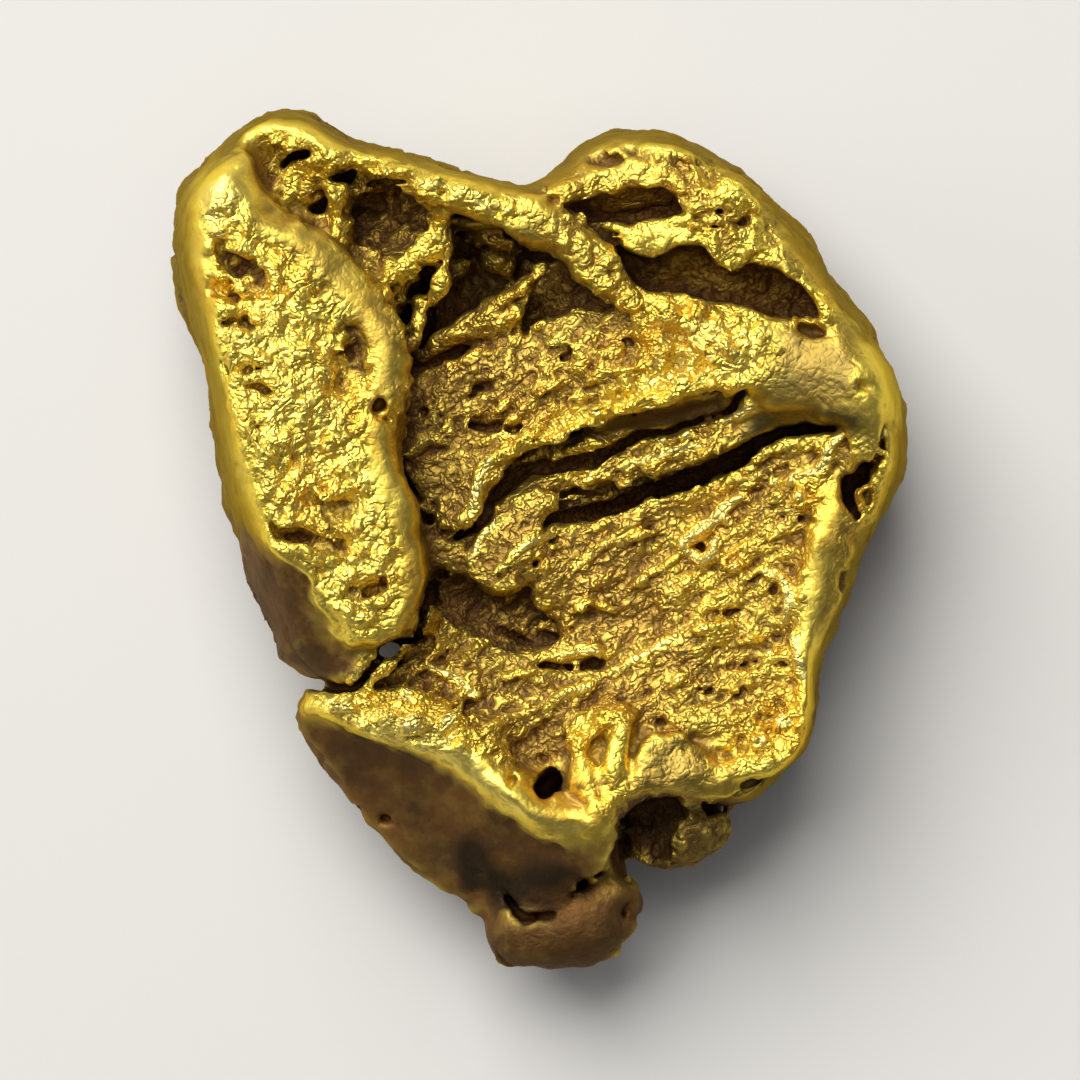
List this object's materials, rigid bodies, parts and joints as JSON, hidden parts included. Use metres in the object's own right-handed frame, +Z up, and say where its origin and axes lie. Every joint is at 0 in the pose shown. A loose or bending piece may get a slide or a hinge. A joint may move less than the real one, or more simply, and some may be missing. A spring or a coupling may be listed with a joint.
{
  "type": "gold nugget",
  "caption": "Waterworn native gold nugget, flattened and roughly triangular, with fat rolled rims folded round a crumpled basin, resting on worn lumps on its underside.",
  "frame": {"origin": "middle of the nugget's bounding box in plan, on the plane that it rests on", "axes": "+Z up out of the crumpled basin, +Y along the length towards the broad end with the rolled rims, +X across the width"},
  "size_m": [0.0172, 0.02, 0.0069],
  "materials": {
    "native_gold": null
  },
  "bodies": {
    "root": {"nugget": "native_gold"}
  },
  "joints": []
}
